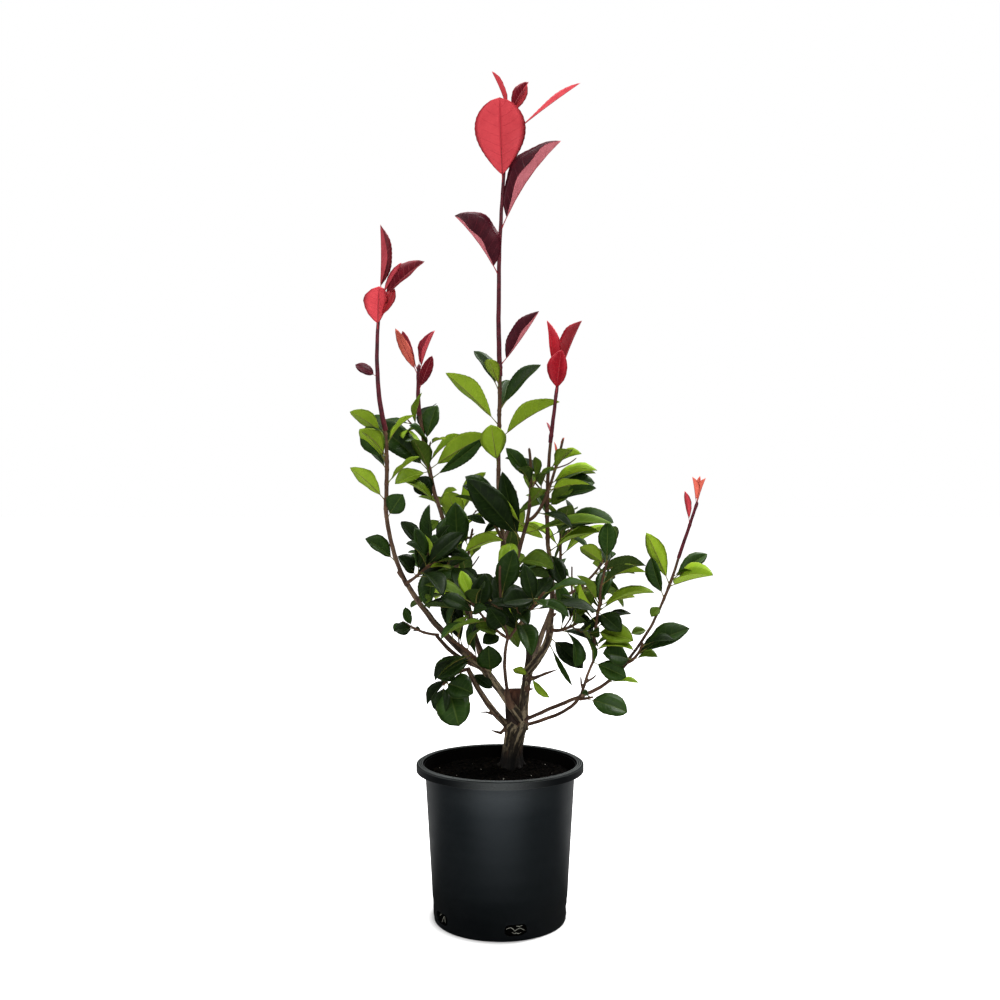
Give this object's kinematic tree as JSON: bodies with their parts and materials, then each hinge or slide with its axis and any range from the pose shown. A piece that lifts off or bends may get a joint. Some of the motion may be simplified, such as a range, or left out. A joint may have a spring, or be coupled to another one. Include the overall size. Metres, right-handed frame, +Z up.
{
  "type": "potted red tip photinia",
  "caption": "Young evergreen shrub with several stems, glossy oval green leaves and red new tips, growing from a pruned trunk in a round black nursery pot.",
  "frame": {"origin": "centre of the pot's flat underside", "axes": "+Z up the plant, -Y towards the viewer of the picture, +X to that viewer's right"},
  "size_m": [0.4173, 0.3528, 1.0157],
  "materials": {
    "pot_plastic": "satin",
    "potting_mix": "matte",
    "bark": "matte",
    "cut_wood": "matte",
    "green_leaves": "satin",
    "red_leaves": "satin"
  },
  "bodies": {
    "root": {"pot": "pot_plastic", "potting_mix": "potting_mix", "trunk": "bark", "pruned_stump": "cut_wood", "right_stem": "bark", "right_bough": "bark", "right_bough_upper": "bark", "back_right_bough": "bark", "leader_foot": "bark", "leader_stem": "bark", "leader_upper": "bark", "left_limb": "bark", "left_limb_middle": "bark", "left_limb_upper": "bark", "left_under_stem": "bark", "back_left_bough": "bark", "centre_left_stem": "bark", "centre_left_upper": "bark", "far_left_stub": "bark", "centre_front_twig": "bark", "centre_right_stem": "bark", "right_low_stem": "bark", "right_low_under": "bark", "far_right_low": "bark", "far_right_upper": "bark", "right_mid_twig": "bark", "leader_green": "green_leaves", "leader_red_tip": "red_leaves", "left_green": "green_leaves", "left_red_tip": "red_leaves", "centre_left_green": "green_leaves", "centre_left_red_tip": "red_leaves", "right_upper": "green_leaves", "right_red_tip": "red_leaves", "centre_right_up": "green_leaves", "centre_right_out": "green_leaves", "far_right_green": "green_leaves", "far_right_red_tip": "red_leaves", "far_right_low_leaves": "green_leaves", "right_mid_leaves": "green_leaves", "right_mid_tip": "green_leaves", "low_right_leaf": "green_leaves", "right_inner": "green_leaves", "front_centre": "green_leaves", "front_right": "green_leaves", "front_left": "green_leaves", "centre_left_low": "green_leaves", "centre_left_mid": "green_leaves", "left_mid": "green_leaves", "fork_sprout": "green_leaves", "left_low_small": "green_leaves", "left_inner": "green_leaves", "far_left_low": "green_leaves", "leader_side_left": "green_leaves", "leader_side_back": "green_leaves", "back_right_up": "green_leaves", "back_right_out": "green_leaves", "back_left_up": "green_leaves", "back_left_out": "green_leaves", "back_middle": "green_leaves"}
  },
  "joints": []
}
